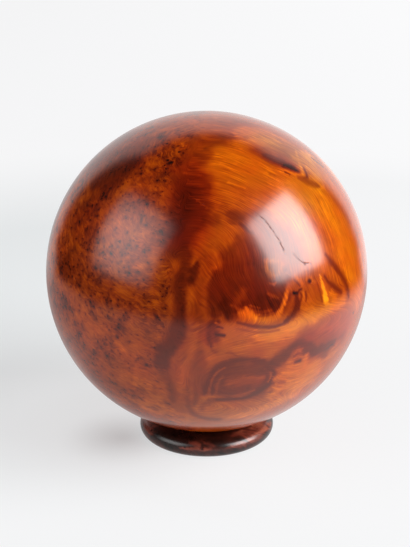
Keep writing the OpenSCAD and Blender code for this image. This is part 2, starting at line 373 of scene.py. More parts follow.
BACK_SIDE = (
    Mark(0.78, ((95, 40, 8), (115, 25, 10), (130, 5, 9), (140, -20, 7)), 0.6, 0.2, 0),
    Mark(0.30, ((150, 45, 6), (160, 25, 8), (165, 5, 7), (160, -15, 6)), 0.5, 0.5, 0),
    Mark(0.24, ((163, 16, 4), (166, 8, 4.5)), 0.6, 0.8),
    Mark(0.70, ((150, 20, 1.5), (152, 8, 2), (152, -4, 1.5)), 0.6, 0.3),
    Mark(0.82, ((172, -4, 1), (168, -9, 1.4), (162, -11, 1), (155, -8, 0.7)), 0.5, 0.3),
    Mark(0.26, ((108, -6, 2.5), (116, -10, 3.5), (125, -8, 2)), 0.5, 0.8),
    Mark(0.07, ((115, -9.5, 0.9), (118, -9.8, 0.7)), 0.5, 0.8),
    Mark(0.62, ((106, -14, 1.2), (115, -17, 1.5), (126, -15, 1)), 0.6, 0.2),
    Mark(0.34, ((88, 2, 2), (92, -8, 3), (98, -20, 3), (108, -30, 3)), 0.6, 0.4, 0),
    Mark(0.42, ((120, 50, 4), (135, 55, 5), (150, 60, 4)), 0.7, 0.4, 0),
    Mark(0.20, ((128, 38, 0.8), (132, 33, 1.6), (135, 26, 1)), 0.5, 0.6),
    Mark(0.90, ((124, 40, 0.4), (128, 34, 0.6), (130, 27, 0.4)), 0.5, 0.2),
    Mark(0.66, ((-172, 30, 5), (-178, 10, 5), (-176, -12, 5)), 0.7, 0.3),
    Mark(0.30, ((-150, 50, 5), (-140, 40, 6), (-134, 26, 5)), 0.8, 0.2),
    Mark(0.64, ((-120, 28, 6), (-128, 10, 6), (-124, -8, 5))),
    Mark(0.32, ((-100, -2, 5), (-106, -14, 5))),
    Mark(0.40, ((-146, -10, 6), (-138, -24, 6))),
    Mark(0.30, ((-84, 12, 4), (-88, 26, 5))),
    Mark(0.40, ((120, -38, 5), (150, -36, 6), (178, -38, 5)), 0.7, 0.3, 0),
    Mark(0.62, ((80, -20, 4), (84, -32, 4)), 0.8, 0.2, 0),
    Mark(0.03, (
        (138, 14, 0.07), (140, 11, 0.14), (141, 6, 0.15), (143, 1, 0.12), (143.6, -2, 0.06),
    ), 0.4, 0.0, None, 0.3),
)

FIGURE = (
    EYED_SIDE + UPPER_FAN + RIGHT_SIDE + DARK_SHOULDER + MIDDLE_GROUND + HEART + SPECKLE
    + CAT_EYE + LOWER_RIGHT + RIVER + BACK_SIDE + CHECKS_AND_SHADE
)

# Where the wood is deep red, and where it is brown
RUDDY = (
    Mark(0.3, ((-56, -22, 12), (-44, -34, 10)), 0.8),
    Mark(0.1, ((-34, -26, 9), (-20, -32, 12), (0, -38, 12), (14, -42, 8)), 0.8),
    Mark(0.2, ((24, -32, 8), (36, -26, 8), (52, -20, 6)), 0.8),
    Mark(0.22, ((-62, 0, 16), (-38, 5, 18), (-18, 0, 10), (-18, 18, 6)), 0.8),
    Mark(0.3, ((6, -14, 9), (22, -10, 10)), 0.8),
    Mark(0.8, ((36, -8, 4), (46, -8, 5), (57, -9, 5)), 0.8),
    Mark(0.45, ((-40, 35, 12), (-35, 45, 12)), 0.8),
    Mark(0.1, ((-66, 36, 6), (-60, 48, 8)), 0.8),
    Mark(1.0, ((-6, 52, 7), (-6, 40, 7), (-7, 30, 5)), 0.7),
    Mark(0.8, ((10, 18, 9), (16, 10, 8)), 0.6),
    Mark(-0.2, ((22.6, 18.6, 3),), 0.8),
    Mark(0.8, ((1.5, -1, 3),), 0.8),
    Mark(0.4, ((14, 58, 8), (22, 54, 8), (20, 44, 5)), 0.7),
    Mark(0.0, ((46, 40, 6), (54, 40, 8)), 0.7),
    Mark(0.3, ((62, 24, 10), (60, 8, 8)), 0.7),
    Mark(-0.3, ((56, 62, 6), (64, 54, 7), (70, 48, 7)), 0.8),
    Mark(0.0, ((20, 0, 3), (30, -1, 4), (44, 2, 4)), 0.8),
    Mark(0.6, ((44, 53, 3), (50, 52, 3)), 0.8),
)

# The ring's marks, among them painted shade and a painted highlight. A height on the ring is the angle up
# from the foot, seen from the lower edge
# of the hole: the bead stands out at 12, its top is at 30 and the crest at 50.
RING_FIGURE_AND_PAINTED_LIGHT = (
    Mark(0.52, ((-90, 24, 9), (-74, 24, 9), (-60, 20, 6)), 0.8, 0.3),
    # Painted shade: the dark upper left of the shoulder, where the ball shades the ring
    Mark(0.12, ((-44, 24, 8), (-36, 26, 12), (-20, 30, 8)), 0.6, 0.2),
    Mark(0.50, ((-12, 24, 3), (-7, 22, 4.6), (-1, 23, 3), (5, 20, 2)), 0.8, 0.5),
    Mark(0.60, ((-22, 14, 1.6), (-11, 16, 2), (-5, 15, 2), (3, 16, 1.6)), 0.8, 0.2),
    Mark(0.16, ((-5, 26, 1), (-3, 21, 1.3), (-4, 15, 0.8)), 0.6, 0.5),
    Mark(0.14, ((6, 28, 3), (14, 24, 5), (22, 16, 3)), 0.6, 0.4),
    Mark(0.60, ((27, 32, 3), (35, 34, 6), (45, 30, 8), (60, 30, 7)), 0.8, 0.3),
    Mark(0.74, ((32, 37, 1.4), (38, 34, 2.6), (44, 36, 2.2), (50, 30, 3)), 0.8, 0.3),
    Mark(0.40, ((42, 42, 1), (46, 34, 1.4), (52, 26, 1.2)), 0.7, 0.3),
    Mark(0.80, ((46, 22, 2), (60, 22, 4), (75, 22, 5)), 0.8, 0.2),
    Mark(0.60, ((18, 15, 2), (28, 17, 4), (38, 18, 4.5), (52, 17, 4))),
    # Painted highlight: pale wood laid on the right shoulder, where the polish shines
    Mark(0.84, ((58, 36, 5), (74, 32, 7)), 0.8),
    Mark(0.18, ((82, 30, 8), (100, 24, 10)), 0.7, 0.3),
    Mark(0.46, ((112, 20, 4), (126, 28, 6), (140, 24, 4)), 0.7, 0.4),
    Mark(0.12, ((150, 34, 6), (170, 20, 8)), 0.7, 0.4),
    Mark(0.42, ((-160, 26, 5), (-146, 20, 6), (-132, 26, 4)), 0.7, 0.4),
    Mark(0.56, ((-112, 34, 3), (-104, 24, 4), (-96, 18, 2)), 0.7, 0.4),
)


# --- The figure at each point of the wood ---

# The square of a length that counts as none, so that nothing is divided by 0.
NO_LENGTH = 1e-12
# The seed of the noise that bends the figure, so that each run turns the same ball.
NOISE_SEED = 1
# Its bends: the size of their lumps and how far they push, both in degrees, and where in the
# noise each one starts.
WIDE_BEND = (9, 1.5, 3)
SMALL_BEND = (2.5, 0.6, 8)
NARROW_BEND = (1.6, 0.16, 8)
SHADE_BEND = (9, 2.0, 21)
GROWTH_BEND = (25, 4, 5)
BURL_EDGE_BEND = (5, 3.5, 12)
# A mark wider than this is bent with the broad figure, and a narrower one only a little.
NARROW_MARK = 1.4
# How much a mark of no width would cover. One half a degree wide covers all.
THIN_COVER = 0.5
# How many half widths a mark's lift spreads over, and where the side of its hollow lies.
LIFT_SPREAD = 1.5
HOLLOW_SIDE = (0.2, 1.2)
# The growth lines are round only past about this many degrees from the place they run round.
GROWTH_CORE = 10
# Where the flow of the lower part gives way, in half widths of its path.
FLOW_EDGE = (0.6, 1.3)
# The turns between which the figure changes to eyes, in front and at the back.
EYED_FRONT = (-13, -9)
EYED_BACK = (176, 184)
# The tone of the plain wood, how much darker it is among the eyes, and the ring's tone.
PLAIN_TONE = 0.54
EYED_DROP = 0.10
RING_TONE = 0.26
# How ruddy the wood is where no mark says so.
PLAIN_SHADE = 0.45


def smooth_path(path):
    """Unit vectors along a smooth curve through the path's places, and half the width at each."""
    ends = [np.array(direction(turn, height)) for turn, height, _ in path]
    widths = [place[2] for place in path]
    places, spans = [ends[0]], [widths[0]]
    for i, (a, b) in enumerate(zip(ends, ends[1:])):
        before, after = ends[max(i - 1, 0)], ends[min(i + 2, len(ends) - 1)]
        arc = math.degrees(np.linalg.norm(b - a))
        count = max(1, math.ceil(arc / (1 + widths[i])))
        for t in (np.arange(count) + 1) / count:
            # The Catmull-Rom curve from a to b
            bend = (b - before) * t + (2 * before - 5 * a + 4 * b - after) * t * t
            bend += (3 * a - before - 3 * b + after) * t**3
            place = a + bend / 2
            places.append(place / np.linalg.norm(place))
            spans.append(widths[i] + (widths[i + 1] - widths[i]) * t)
    return np.array(places), np.array(spans)


def reach(points, path, far=3.5):
    """How many half widths each point lies from the path: 0 along it, 1 at its edge, far past it."""
    places, widths = smooth_path(path)
    middle = places.mean(axis=0)
    span = np.linalg.norm(places - middle, axis=1).max() + math.radians(far * widths.max())
    close = np.linalg.norm(points - middle, axis=1) < span
    near = points[close]
    nearest = np.full(len(near), far)
    if len(places) == 1:
        places, widths = np.repeat(places, 2, axis=0), np.repeat(widths, 2)
    for a, b, wide_a, wide_b in zip(places, places[1:], widths, widths[1:]):
        along = b - a
        t = np.clip((near - a) @ along / max(along @ along, NO_LENGTH), 0, 1)
        gap = np.degrees(np.linalg.norm(near - a - t[:, None] * along, axis=1))
        nearest = np.minimum(nearest, gap / (wide_a + (wide_b - wide_a) * t))
    result = np.full(len(points), far)
    result[close] = nearest
    return result


def fade(value, low, high):
    """1 below low, 0 above high, and a smooth step between."""
    t = np.clip((value - low) / (high - low), 0, 1)
    return 1 - t * t * (3 - 2 * t)


def wander(points, size, amount, start):
    """Moves unit vectors aside by a smooth noise with lumps of that size, both in degrees."""
    noise.seed_set(NOISE_SEED)
    scale = math.degrees(1) / size
    start = Vector((start, -start, start))
    shift = np.array([noise.noise_vector(Vector(p) * scale + start) for p in points])
    moved = points + shift * math.radians(amount)
    return moved / np.linalg.norm(moved, axis=1)[:, None]


def mark_width(mark):
    return sum(place[2] for place in mark.path) / len(mark.path)


def mark_cover(away, mark):
    """How far the mark covers the wood, from 0 to 1, at points that lie so many half widths away."""
    return fade(away, 1 - mark.soft, 1 + mark.soft)


def lay_marks(points, marks, tone, growth, burl):
    """Lays the marks over the plain wood. Returns tone, fray, growth, burl and depth at each point.

    fray is how much the tone changes across an edge there, for the streaks to feather it with.
    """
    broad = wander(wander(points, *WIDE_BEND), *SMALL_BEND)
    narrow = wander(points, *NARROW_BEND)
    depth = np.zeros(len(points))
    fray = np.zeros(len(points))
    for mark in marks:
        width = mark_width(mark)
        away = reach(broad if width > NARROW_MARK else narrow, mark.path)
        cover = mark_cover(away, mark)
        if mark.depth == 0:
            cover *= min(1, THIN_COVER + width)
        step = mark.tone - tone
        tone = tone + step * cover
        fray = fray * (1 - cover) + step * 4 * cover * (1 - cover)
        growth = growth + mark.lift * width * np.exp(-((away / LIFT_SPREAD) ** 2))
        depth = np.maximum(depth, mark.depth * fade(away, *HOLLOW_SIDE))
        if mark.burl is not None:
            burl = burl + (mark.burl - burl) * cover
    return tone, fray, growth, burl, depth


def lay_shade(points, marks):
    """How ruddy the wood is at each point: 1 for deep red and 0 for brown."""
    broad = wander(points, *SHADE_BEND)
    shade = np.full(len(points), PLAIN_SHADE)
    for mark in marks:
        shade = shade + (mark.tone - shade) * mark_cover(reach(broad, mark.path), mark)
    return shade


def angle_from(points, place):
    """The angle in degrees between each point and a place."""
    return np.degrees(np.arccos(np.clip(points @ np.array(direction(*place)), -1, 1)))


def ball_figure(points):
    """The tone, fray, growth line in degrees, share of burl and depth at each point."""
    bent = wander(points, *GROWTH_BEND)
    growth = np.sqrt(angle_from(bent, GROWTH_PLACE) ** 2 + GROWTH_CORE**2)
    place, step, path = LOWER_FLOW
    growth += (angle_from(bent, place) + step - growth) * fade(reach(bent, path), *FLOW_EDGE)
    ragged = wander(points, *BURL_EDGE_BEND)
    turn = np.degrees(np.arctan2(ragged[:, 0], -ragged[:, 1]))
    burl = fade(turn, *EYED_FRONT) * fade(-turn, *EYED_BACK)
    growth += (angle_from(bent, BURL_FLOW) - growth) * burl
    return lay_marks(points, FIGURE, PLAIN_TONE - EYED_DROP * burl, growth, burl)


# The ball's mesh: how often the sphere's faces are cut, the edge that leaves, in degrees, the
# shortest edge that a mark asks for, how long an edge may be for each degree of a mark's half
# width, how far past a mark's edge this holds, and how much longer an edge may stay.
SPHERE_CUTS = 7
SPHERE_EDGE = 0.9
SHORTEST_EDGE = 0.14
EDGE_PER_WIDTH = 0.8
FINE_REACH = 2.2
EDGE_SLACK = 1.25
REFINE_ROUNDS = 4


def finest(points, marks):
    """The longest edge, in degrees, that still shows the marks at each point."""
    longest = np.full(len(points), np.inf)
    for mark in marks:
        limit = max(SHORTEST_EDGE, EDGE_PER_WIDTH * mark_width(mark) * (0.5 + mark.soft))
        if limit < SPHERE_EDGE:
            near = reach(points, mark.path) < FINE_REACH
            longest[near] = np.minimum(longest[near], limit)
    return longest


def refine(bm, marks):
    """Cuts the edges of a ball of radius 1 until they are short enough for the marks."""
    for _ in range(REFINE_ROUNDS):
        ends = np.array([[v.co[:] for v in edge.verts] for edge in bm.edges])
        middles = ends.mean(axis=1)
        middles /= np.linalg.norm(middles, axis=1)[:, None]
        lengths = np.degrees(np.linalg.norm(ends[:, 0] - ends[:, 1], axis=1))
        too_long = lengths > finest(middles, marks) * EDGE_SLACK
        chosen = [edge for edge, cut in zip(bm.edges, too_long) if cut]
        if not chosen:
            break
        bmesh.ops.subdivide_edges(bm, edges=chosen, cuts=1, use_grid_fill=True)
        bmesh.ops.triangulate(bm, faces=[face for face in bm.faces if len(face.verts) > 3])
        for vert in bm.verts:
            vert.co.normalize()


# --- Shader nodes ---


class Graph:
    """Adds nodes to a node tree. A value that is a socket is linked, and any other is set."""

    def __init__(self, tree):
        self.tree = tree

    def feed(self, socket, value):
        if isinstance(value, bpy.types.NodeSocket):
            self.tree.links.new(value, socket)
        else:
            socket.default_value = value

    def node(self, kind, inputs=(), **settings):
        made = self.tree.nodes.new(kind)
        for name, value in settings.items():
            setattr(made, name, value)
        for name, value in dict(inputs).items():
            self.feed(made.inputs[name], value)
        return made

    def group(self, tree, **inputs):
        return self.node("ShaderNodeGroup", inputs, node_tree=tree).outputs

    def place(self, output="Object"):
        return self.node("ShaderNodeTexCoord").outputs[output]

    def parts(self, vector):
        return self.node("ShaderNodeSeparateXYZ", {0: vector}).outputs

    def attribute(self, name):
        return self.node("ShaderNodeAttribute", attribute_name=name).outputs["Fac"]

    def maths(self, operation, *values):
        return self.node("ShaderNodeMath", enumerate(values), operation=operation).outputs[0]

    def product(self, first, *others):
        for other in others:
            first = self.maths("MULTIPLY", first, other)
        return first

    def total(self, *terms):
        """The sum of value times weight over the terms."""
        result = 0.0
        for value, weight in terms:
            result = self.maths("MULTIPLY_ADD", value, weight, result)
        return result

    def vector(self, operation, *values, scale=None):
        made = self.node("ShaderNodeVectorMath", enumerate(values), operation=operation)
        if scale is not None:
            self.feed(made.inputs["Scale"], scale)
        return made.outputs["Value" if operation in ("LENGTH", "DOT_PRODUCT") else 0]

    def distance(self, place, spot):
        return self.vector("LENGTH", self.vector("SUBTRACT", place, spot))

    def rise(self, value, low, high, to_low=0.0, to_high=1.0, kind="SMOOTHSTEP"):
        """A step that goes from to_low to to_high as value goes from low to high."""
        inputs = {"Value": value, "From Min": low, "From Max": high}
        inputs.update({"To Min": to_low, "To Max": to_high})
        return self.node("ShaderNodeMapRange", inputs, interpolation_type=kind).outputs[0]

    def mix(self, factor, a, b, kind="RGBA", blend="MIX"):
        made = self.node("ShaderNodeMix", data_type=kind, blend_type=blend)
        sockets = [s for s in made.inputs if s.enabled]
        for socket, value in zip(sockets, (factor, a, b)):
            self.feed(socket, value)
        return [s for s in made.outputs if s.enabled][0]

    def mix_shader(self, factor, a, b):
        return self.node("ShaderNodeMixShader", {0: factor, 1: a, 2: b}).outputs[0]

    def light(self, kind, colour, strength=1.0):
        """An emission or background shader."""
        return self.node(kind, {"Color": colour, "Strength": strength}).outputs[0]

    def noise(self, place, size, detail=2.0, roughness=0.5):
        """A noise with lumps of that size, from -0.5 to 0.5."""
        inputs = {"Vector": place, "Scale": 1 / size, "Detail": detail, "Roughness": roughness}
        return self.maths("SUBTRACT", self.node("ShaderNodeTexNoise", inputs).outputs["Fac"], 0.5)


WHITE = (1, 1, 1, 1)


def linear(colour):
    """A screen colour, 0 to 1 a channel, as the linear colour that a shader takes."""
    return tuple(c / 12.92 if c <= 0.04 else ((c + 0.055) / 1.055) ** 2.4 for c in colour) + (1.0,)


def new_material(name):
    """A material with no nodes yet."""
    material = bpy.data.materials.new(name)
    material.use_nodes = True
    material.node_tree.nodes.clear()
    return material


def new_group(name, inputs, outputs):
    """An empty shader node group: its Graph, its inputs by name, and its output node's inputs."""
    tree = bpy.data.node_groups.new(name, "ShaderNodeTree")
    kinds = {"value": "NodeSocketFloat", "vector": "NodeSocketVector", "colour": "NodeSocketColor"}
    for side, sockets in (("INPUT", inputs), ("OUTPUT", outputs)):
        for socket_name, kind in sockets:
            tree.interface.new_socket(socket_name, in_out=side, socket_type=kinds[kind])
    graph = Graph(tree)
    return graph, graph.node("NodeGroupInput").outputs, graph.node("NodeGroupOutput").inputs


def make_streaks_group():
    """Fine streaks that follow the growth lines: long along them and narrow across."""
    graph, given, result = new_group(
        "growth_streaks",
        (("Place", "vector"), ("Growth", "value"), ("Spacing", "value"), ("Length", "value")),
        (("Streak", "value"),),
    )
    shrink = graph.maths("DIVIDE", 1.0, given["Length"])
    place = graph.vector("SCALE", given["Place"], scale=shrink)
    across = graph.maths("DIVIDE", given["Growth"], given["Spacing"])
    inputs = {"Vector": place, "W": across, "Scale": 1.0, "Detail": 2.0, "Roughness": 0.6}
    streak = graph.node("ShaderNodeTexNoise", inputs, noise_dimensions="4D").outputs["Fac"]
    graph.feed(result["Streak"], graph.maths("SUBTRACT", streak, 0.5))
    return graph.tree


# The way that the burl's pins run, how much longer than wide each of them is, and how evenly
# they stand.
PIN_WAY = Vector((-0.85, -0.34, 0.38)).normalized()
PIN_STRETCH = 2.2
PIN_SCATTER = 0.95
# The smallest and the largest eye, as shares of the size asked for, and where the edges of an
# eye's core and of the halo round it lie, in eye sizes.
EYE_SIZES = (0.55, 1.35)
EYE_EDGES = (("Core", 0.4, 1.6), ("Halo", 0.0, 5.0))


def make_eyes_group():
    """Burl eyes: thin dark pins that all run one way, cut across by the surface."""
    graph, given, result = new_group(
        "burl_eyes",
        (
            ("Place", "vector"), ("Spacing", "value"), ("Size", "value"), ("Share", "value"),
            ("Seed", "vector"),
        ),
        (("Core", "value"), ("Halo", "value")),
    )
    shifted = graph.vector("ADD", given["Place"], given["Seed"])
    along = graph.vector("DOT_PRODUCT", shifted, PIN_WAY)
    shorten = graph.maths("MULTIPLY", along, 1 / PIN_STRETCH - 1)
    squeezed = graph.vector("ADD", shifted, graph.vector("SCALE", PIN_WAY, scale=shorten))
    shrink = graph.maths("DIVIDE", 1.0, given["Spacing"])
    scaled = graph.vector("SCALE", squeezed, scale=shrink)
    inputs = {"Vector": scaled, "Scale": 1.0, "Randomness": PIN_SCATTER}
    cells = graph.node("ShaderNodeTexVoronoi", inputs).outputs
    away = graph.vector("SUBTRACT", scaled, cells["Position"])
    drop = graph.vector("DOT_PRODUCT", away, PIN_WAY)
    flat = graph.vector("SUBTRACT", away, graph.vector("SCALE", PIN_WAY, scale=drop))
    flat = graph.vector("SCALE", flat, scale=given["Spacing"])
    lot = graph.node("ShaderNodeSeparateColor", {"Color": cells["Color"]}).outputs
    chosen = graph.maths("LESS_THAN", lot["Red"], given["Share"])
    radius = graph.product(given["Size"], graph.rise(lot["Green"], 0.0, 1.0, *EYE_SIZES, "LINEAR"))
    ratio = graph.maths("DIVIDE", graph.vector("LENGTH", flat), radius)
    for name, low, high in EYE_EDGES:
        graph.feed(result[name], graph.product(graph.rise(ratio, low, high, 1, 0), chosen))
    return graph.tree


# The wood's colours, by the names that the settings give them, and the tone at which each shows.
WOOD_STEPS = (
    ("Core", 0.0), ("Darkest", 0.14), ("Dark", 0.28), ("Red", 0.42), ("Middle", 0.56),
    ("Orange", 0.70), ("Light", 0.85), ("Palest", 1.0),
)


def make_tones_group():
    """Turns a tone, from 0 to 1, into the colour of the wood."""
    graph, given, result = new_group(
        "wood_tones", (("Tone", "value"),) + tuple((name, "colour") for name, _ in WOOD_STEPS),
        (("Colour", "colour"),),
    )
    colour = given[WOOD_STEPS[0][0]]
    for (_, low), (name, high) in zip(WOOD_STEPS, WOOD_STEPS[1:]):
        step = graph.rise(given["Tone"], low, high, kind="LINEAR")
        colour = graph.mix(step, colour, given[name])
    graph.feed(result["Colour"], colour)
    return graph.tree


def make_polish_group():
    """The wax polish, whose gloss changes in clouds and smears and whose surface is a little wavy."""
    graph, given, result = new_group(
        "worn_polish", (("Place", "vector"), ("Roughness", "value")),
        (("Roughness", "value"), ("Height", "value")),
    )
    cloud = graph.noise(given["Place"], size=9.0, detail=3.0)
    smear = graph.noise(given["Place"], size=1.5, detail=3.0)
    change = graph.total((cloud, 0.06), (smear, 0.04))
    graph.feed(result["Roughness"], graph.maths("ADD", given["Roughness"], change))
    graph.feed(result["Height"], graph.noise(given["Place"], size=3.0))
    return graph.tree


def shared_groups():
    """The shader node groups that both kinds of wood use, made once."""
    makers = {
        "growth_streaks": make_streaks_group, "burl_eyes": make_eyes_group,
        "wood_tones": make_tones_group, "worn_polish": make_polish_group,
    }
    return {
        name.split("_")[1]: bpy.data.node_groups.get(name) or make()
        for name, make in makers.items()
    }


# How high the polish's waves stand, and how rough the wood is where a hollow breaks the polish.
BUMP_HEIGHT = 0.1 * MM
PIT_ROUGHNESS = 0.75


class Wood(Graph):
    """A polished wood's material. Places and sizes in it are in degrees of the ball's surface."""

    def __init__(self, name, settings, centre):
        self.material = new_material(name)
        super().__init__(self.material.node_tree)
        self.settings, self.groups = settings, shared_groups()
        self.shader = self.node("ShaderNodeBsdfPrincipled")
        self.node("ShaderNodeOutputMaterial", {"Surface": self.shader.outputs[0]})
        centred = self.vector("SUBTRACT", self.place(), centre)
        self.spot = self.vector("SCALE", centred, scale=math.degrees(1) / BALL_RADIUS)

    def streak(self, growth, spacing, length):
        inputs = {"Place": self.spot, "Growth": growth, "Spacing": spacing, "Length": length}
        return self.group(self.groups["streaks"], **inputs)["Streak"]

    def eyes(self, spacing, size, share, seed):
        inputs = {"Place": self.spot, "Spacing": spacing, "Size": size, "Share": share, "Seed": seed}
        return self.group(self.groups["eyes"], **inputs)

    def colour(self, change, feather):
        """The laid tone with its change, feathered where it frays, as the wood's colour."""
        tone = self.total((feather, self.attribute("fray")), (change, 1.0))
        tone = self.maths("ADD", self.attribute("tone"), tone)
        colours = {name: linear(getattr(self.settings, name.lower())) for name, _ in WOOD_STEPS}
        return self.group(self.groups["tones"], Tone=tone, **colours)["Colour"]

    def finish(self, colour, change, bump, pit=None):
        """Polishes the wood. It is dull where pit is 1, and its streaks stand a little proud."""
        inputs = {"Place": self.spot, "Roughness": self.settings.polish_roughness}
        polish = self.group(self.groups["polish"], **inputs)
        height = self.total((change, 0.3), (polish["Height"], 0.5))
        inputs = {"Strength": bump, "Distance": BUMP_HEIGHT, "Height": height}
        self.feed(self.shader.inputs["Base Color"], colour)
        rough = polish["Roughness"]
        if pit is not None:
            rough = self.mix(pit, rough, PIT_ROUGHNESS, "FLOAT")
        self.feed(self.shader.inputs["Roughness"], rough)
        self.feed(self.shader.inputs["Normal"], self.node("ShaderNodeBump", inputs).outputs[0])
        return self.material


def make_wood_material(settings):
    """The ball's polished burl: figured wood on one side and eyes on the other."""
    wood = Wood("polished_burl", settings, BALL_CENTRE)
    spot, burl = wood.spot, wood.attribute("burl")
    patches = wood.noise(spot, size=9.0, detail=1.0)
    clusters = wood.total((wood.noise(spot, size=2.8, detail=1.0), 0.8), (patches, 0.5))
    smudge = wood.rise(clusters, 0.0, 0.22)
    many = wood.rise(clusters, -0.16, 0.14, 0.15, 0.95)
    few = wood.rise(clusters, 0.0, 0.16, 0.0, 0.4)
    sparse = wood.eyes(spacing=2.4, size=0.25, share=many, seed=(0, 0, 0))
    dense = wood.eyes(spacing=1.2, size=0.17, share=few, seed=(40, 10, 5))
    halo = wood.product(wood.maths("MAXIMUM", sparse["Halo"], dense["Halo"]), burl)
    core = wood.maths("MAXIMUM", sparse["Core"], dense["Core"])
    # The growth lines bend round the eyes, and curl among them
    growth = wood.total((halo, 0.9), (wood.attribute("growth"), 1.0))
    curled = wood.total((wood.noise(spot, size=6.0), 5.0), (growth, 1.0))
    hair = wood.streak(growth, spacing=0.36, length=7.0)
    strand = wood.streak(growth, spacing=1.1, length=9.0)
    band = wood.streak(growth, spacing=3.2, length=16.0)
    fuzz = wood.streak(curled, spacing=0.42, length=2.6)
    curl = wood.streak(curled, spacing=1.1, length=3.2)
    mottle = wood.noise(spot, size=3.0, detail=4.0, roughness=0.6)
    # How much each kind of wood changes, and where it does so more and less
    sides = wood.parts(spot)
    figured = wood.product(
        wood.total((hair, 0.42), (strand, 0.14), (band, 0.16), (mottle, 0.14)),
        wood.product(
            wood.rise(wood.noise(spot, size=11.0), -0.15, 0.15, 0.6, 1.3),
            wood.rise(wood.attribute("tone"), 0.3, 0.65, 0.7, 1.35),
            wood.rise(sides["Z"], -20, 25, 0.75, 1.15),
            wood.rise(sides["X"], 24, 42, 1.1, 0.72),
        ),
    )
    eyed = wood.total(
        (fuzz, 0.42), (curl, 0.36), (band, 0.10), (mottle, 0.32), (patches, -0.32),
        (smudge, -0.10), (halo, -0.08), (core, -0.14),
    )
    eyed = wood.product(
        eyed, wood.rise(burl, 1.0, 2.0, 1.0, 1.8), wood.rise(sides["Z"], -24, 6, 0.72, 1.08)
    )
    change = wood.mix(burl, figured, eyed, "FLOAT")
    colour = wood.colour(change, wood.total((hair, 0.8), (strand, 1.5), (mottle, 1.3)))
    ruddy = wood.total((wood.noise(spot, size=6.0, detail=3.0), 0.8), (wood.attribute("ruddy"), 1.0))
    ruddy = wood.rise(ruddy, -0.6, 1, kind="LINEAR")
    tint = wood.mix(ruddy, linear(settings.brown), linear(settings.ruddy))
    colour = wood.mix(1.0, colour, wood.vector("SCALE", tint, scale=2.0), blend="MULTIPLY")
    return wood.finish(colour, change, bump=0.2, pit=wood.attribute("pit"))


def make_ring_material(settings):
    """The ring's dark wood, with red and orange flecks."""
    wood = Wood("dark_turned_burl", settings, (0, 0, 0))
    growth = wood.attribute("growth")
    fine = wood.streak(growth, spacing=0.5, length=6.0)
    coarse = wood.streak(growth, spacing=1.8, length=7.0)
    eyes = wood.eyes(spacing=2.2, size=0.35, share=0.5, seed=(7, 3, 1))
    mottle = wood.noise(wood.spot, size=2.2, detail=3.0, roughness=0.6)
    change = wood.total(
        (fine, 0.40), (coarse, 0.30), (mottle, 0.25), (eyes["Halo"], -0.06), (eyes["Core"], -0.20)
    )
    colour = wood.colour(change, wood.total((fine, 1.0), (coarse, 1.5)))
    return wood.finish(colour, change, bump=0.25)


# --- Settings ---


def length_property(name, description, default):
    return bpy.props.FloatProperty(name=name, description=description, default=default, unit="LENGTH")


def share_property(name, description, default):
    return bpy.props.FloatProperty(
        name=name, description=description, default=default, min=0, max=1, subtype="FACTOR"
    )


def place_property(name, description, default):
    return bpy.props.FloatVectorProperty(
        name=name, description=description, default=default, subtype="XYZ"
    )


def colour_property(name, description, *default):
    return bpy.props.FloatVectorProperty(
        name=name, description=description, default=[c / 255 for c in default], min=0, max=1,
        subtype="COLOR_GAMMA",
    )


class BurlBallSettings(bpy.types.PropertyGroup):
    """The ball's size, its wood's colours and its polish."""

    radius: length_property("Radius", "Radius of the ball", BALL_RADIUS)
    polish_roughness: share_property("Polish", "Roughness of the wax polish", 0.17)
    core: colour_property("Core", "Colour of the eyes and cracks", 38, 13, 7)
    darkest: colour_property("Darkest", "Colour of the darkest wood", 66, 14, 3)
    dark: colour_property("Dark", "Colour of the dark wood", 106, 27, 3)
    red: colour_property("Red", "Colour of the red-brown wood", 142, 45, 2)
    middle: colour_property("Middle", "Colour of the plain wood", 174, 65, 1)
    orange: colour_property("Orange", "Colour of the orange wood", 204, 86, 1)
    light: colour_property("Light", "Colour of the light orange wood", 234, 112, 1)
    palest: colour_property("Palest", "Colour of the palest flames", 252, 150, 6)
    ruddy: colour_property("Ruddy tint", "Tint over the deep red wood", 192, 156, 100)
    brown: colour_property("Brown tint", "Tint over the brown wood", 178, 241, 255)


class RingStandSettings(bpy.types.PropertyGroup):
    """The ring's sizes, its wood's colours and its polish."""

    bead_radius: length_property("Bead", "Radius of the bead round the outside", 4.2 * MM)
    foot_cut: share_property("Foot", "Share of the bead's radius cut off for the foot", 0.07)
    crest_land: length_property("Crest", "Width of the level land on the crest", 0.6 * MM)
    hole_radius: length_property("Hole", "Radius of the hole through the ring", 14.5 * MM)
    hole_bevel: length_property("Hole bevel", "Bevel round the hole's lower edge", 1.0 * MM)
    seat_gap: length_property("Seat gap", "Thickness of the wax film under the ball", 0.05 * MM)
    polish_roughness: share_property("Polish", "Roughness of the wax polish", 0.28)
    core: colour_property("Core", "Colour of the darkest marks", 14, 9, 8)
    darkest: colour_property("Darkest", "Colour of the darkest wood", 34, 17, 15)
    dark: colour_property("Dark", "Colour of the dark wood", 62, 28, 22)
    red: colour_property("Red", "Colour of the red-brown wood", 92, 41, 31)
    middle: colour_property("Middle", "Colour of the plain wood", 122, 57, 43)
    orange: colour_property("Orange", "Colour of the orange wood", 150, 77, 56)
    light: colour_property("Light", "Colour of the light orange wood", 182, 102, 74)
    palest: colour_property("Palest", "Colour of the palest flecks", 210, 134, 98)


